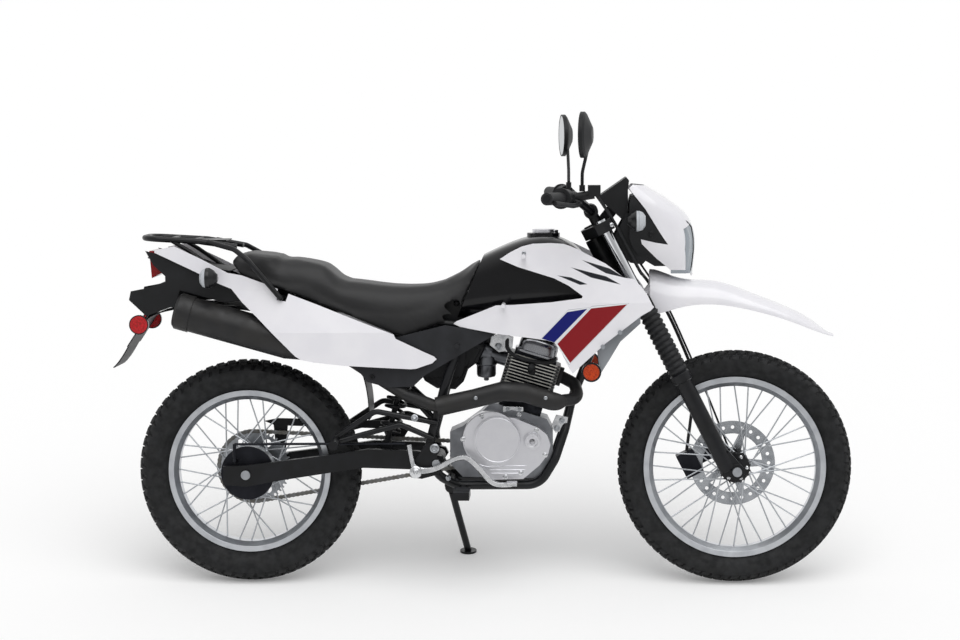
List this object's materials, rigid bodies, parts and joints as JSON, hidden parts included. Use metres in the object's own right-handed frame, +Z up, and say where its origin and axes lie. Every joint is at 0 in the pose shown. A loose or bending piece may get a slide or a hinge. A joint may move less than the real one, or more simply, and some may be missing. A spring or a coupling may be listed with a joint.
{
  "type": "dual sport motorcycle",
  "caption": "Motorcycle with spoked wheels, a long seat, a finned single cylinder engine, a luggage rack, a turning fork and handlebar, and a side stand that it leans on.",
  "frame": {"origin": "centre of the bounding box's lowest face, on the ground, with the machine leaning on its side stand", "axes": "+X forward along the wheelbase, +Y towards the rider's left, +Z up"},
  "size_m": [2.0617, 0.8105, 1.3513],
  "materials": {
    "tyre_rubber": "matt",
    "silver_rim": "satin",
    "hub_metal": "satin",
    "disc_steel": "brushed",
    "sprocket_steel": "satin",
    "chain_steel": "satin",
    "axle_steel": "satin",
    "black_paint": "gloss",
    "chrome_tube": "polished",
    "fork_silver": "satin",
    "gaiter_rubber": "matt",
    "black_plastic": "satin",
    "mirror_glass": "polished",
    "white_plastic": "gloss",
    "lens_clear": "clear",
    "indicator_plastic": "gloss",
    "tank_paint": "gloss",
    "cap_metal": "satin",
    "seat_cover": "satin",
    "shroud_plastic": "gloss",
    "charcoal_plastic": "satin",
    "grey_plastic": "satin",
    "shock_steel": "gloss",
    "engine_alloy": "cast",
    "cylinder_black": "cast",
    "carburettor_alloy": "cast",
    "exhaust_black": "matt",
    "tail_lens": "gloss",
    "amber_lens": "gloss",
    "pedal_steel": "satin",
    "caliper_alloy": "cast",
    "hose_rubber": "satin"
  },
  "bodies": {
    "chassis": {"rear_indicators": "indicator_plastic", "fuel_tank": "tank_paint", "seat": "seat_cover", "frame": "black_paint", "tank_shrouds": "shroud_plastic", "tail_covers": "white_plastic", "side_panels": "charcoal_plastic", "air_guides": "grey_plastic", "swingarm": "black_paint", "rear_axles": "axle_steel", "rear_shock": "shock_steel", "cylinder": "cylinder_black", "head_cover": "engine_alloy", "clutch_cover": "engine_alloy", "left_covers": "engine_alloy", "crankcase": "engine_alloy", "airbox": "black_plastic", "carburettor": "carburettor_alloy", "exhaust_pipe": "exhaust_black", "muffler": "exhaust_black", "rear_fender": "black_plastic", "rear_rack": "black_paint", "tail_lamp": "tail_lens", "front_reflectors": "amber_lens", "rear_reflectors": "tail_lens", "foot_pegs": "black_paint", "foot_controls": "pedal_steel", "rear_brake": "hub_metal", "chain": "chain_steel", "chain_guard": "black_plastic"},
    "steering": {"fork_yokes": "black_paint", "fork_tubes": "chrome_tube", "fork_legs": "fork_silver", "fork_gaiters": "gaiter_rubber", "front_axle": "axle_steel", "handlebar": "black_paint", "grips": "gaiter_rubber", "hand_controls": "black_plastic", "mirrors": "black_plastic", "mirror_glasses": "mirror_glass", "headlight_cowl": "white_plastic", "headlight": "lens_clear", "headlight_housing": "black_plastic", "instrument_binnacle": "black_plastic", "front_indicators": "indicator_plastic", "front_fender": "white_plastic", "brake_caliper": "caliper_alloy", "brake_hose": "hose_rubber", "control_cables": "hose_rubber"},
    "front_wheel": {"front_tyre": "tyre_rubber", "front_rim": "silver_rim", "front_hub": "hub_metal", "brake_disc": "disc_steel"},
    "rear_wheel": {"rear_tyre": "tyre_rubber", "rear_rim": "silver_rim", "rear_hub": "hub_metal", "rear_sprocket": "sprocket_steel"},
    "side_stand": {"side_stand": "black_paint"},
    "fuel_cap": {"fuel_cap": "cap_metal"}
  },
  "joints": [
    {"name": "steering_turn", "type": "hinge", "parent": "chassis", "child": "steering", "pos_m": [0.65275, -0.12729, 0.29778], "axis": [-0.454, 0.1394, 0.88], "range_deg": [-43, 43]},
    {"name": "front_wheel_spin", "type": "hinge", "parent": "steering", "child": "front_wheel", "pos_m": [0.70405, -0.1232, 0.3236], "axis": [0, 0.9877, -0.1564], "continuous": true},
    {"name": "rear_wheel_spin", "type": "hinge", "parent": "chassis", "child": "rear_wheel", "pos_m": [-0.65795, -0.12508, 0.31174], "axis": [0, 0.9877, -0.1564], "continuous": true},
    {"name": "side_stand_fold", "type": "hinge", "parent": "chassis", "child": "side_stand", "pos_m": [-0.09795, -0.03253, 0.23128], "axis": [0.1573, 0.8996, 0.4073], "range_deg": [0, 94.2]},
    {"name": "fuel_cap_hinge", "type": "hinge", "parent": "chassis", "child": "fuel_cap", "pos_m": [0.20505, -0.01996, 0.97547], "axis": [0, 0.9877, -0.1564], "range_deg": [0, 90]}
  ]
}
